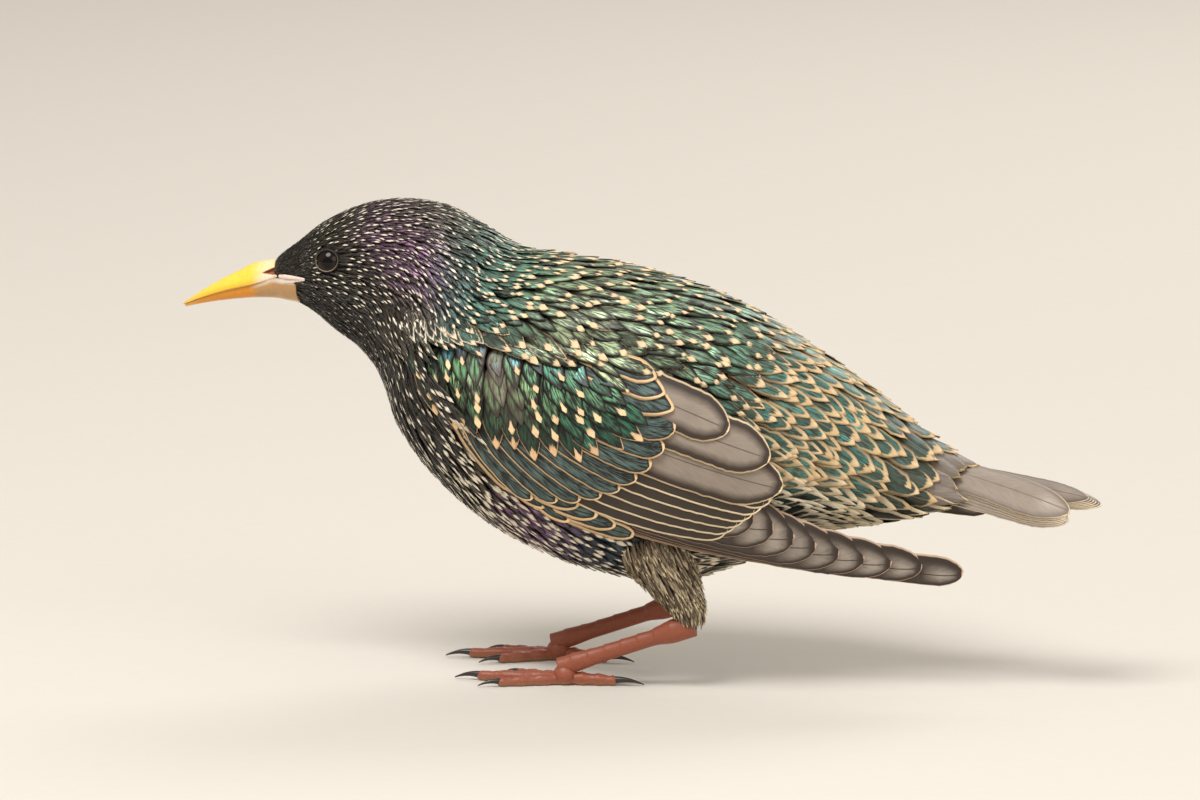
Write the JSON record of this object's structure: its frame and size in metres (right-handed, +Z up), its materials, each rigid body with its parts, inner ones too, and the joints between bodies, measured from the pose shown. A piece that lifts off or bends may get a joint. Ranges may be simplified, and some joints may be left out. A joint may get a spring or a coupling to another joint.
{
  "type": "starling",
  "caption": "Life-size standing starling: rounded body leaning forward, straight pointed bill, folded layered wings, short tail and splayed toes on the floor.",
  "frame": {"origin": "on the floor, under the middle of the bird's bounding box", "axes": "+X runs from the bill towards the tail, +Y to the bird's right side, +Z up; the bird faces -X"},
  "size_m": [0.2074, 0.0664, 0.1053],
  "materials": {
    "plumage": "satin",
    "wing": "satin",
    "tail": "satin",
    "thigh": "matte",
    "bill": "satin",
    "eye": "gloss",
    "leg": "satin"
  },
  "bodies": {
    "root": {"head": "plumage", "neck": "plumage", "torso": "plumage", "tail": "tail", "bill_upper": "bill", "bill_lower": "bill", "eye_left": "eye", "eye_right": "eye", "wing_left": "wing", "wing_right": "wing", "thigh_left": "thigh", "thigh_right": "thigh", "tarsus_left": "leg", "tarsus_right": "leg", "foot_left": "leg", "foot_right": "leg"}
  },
  "joints": []
}
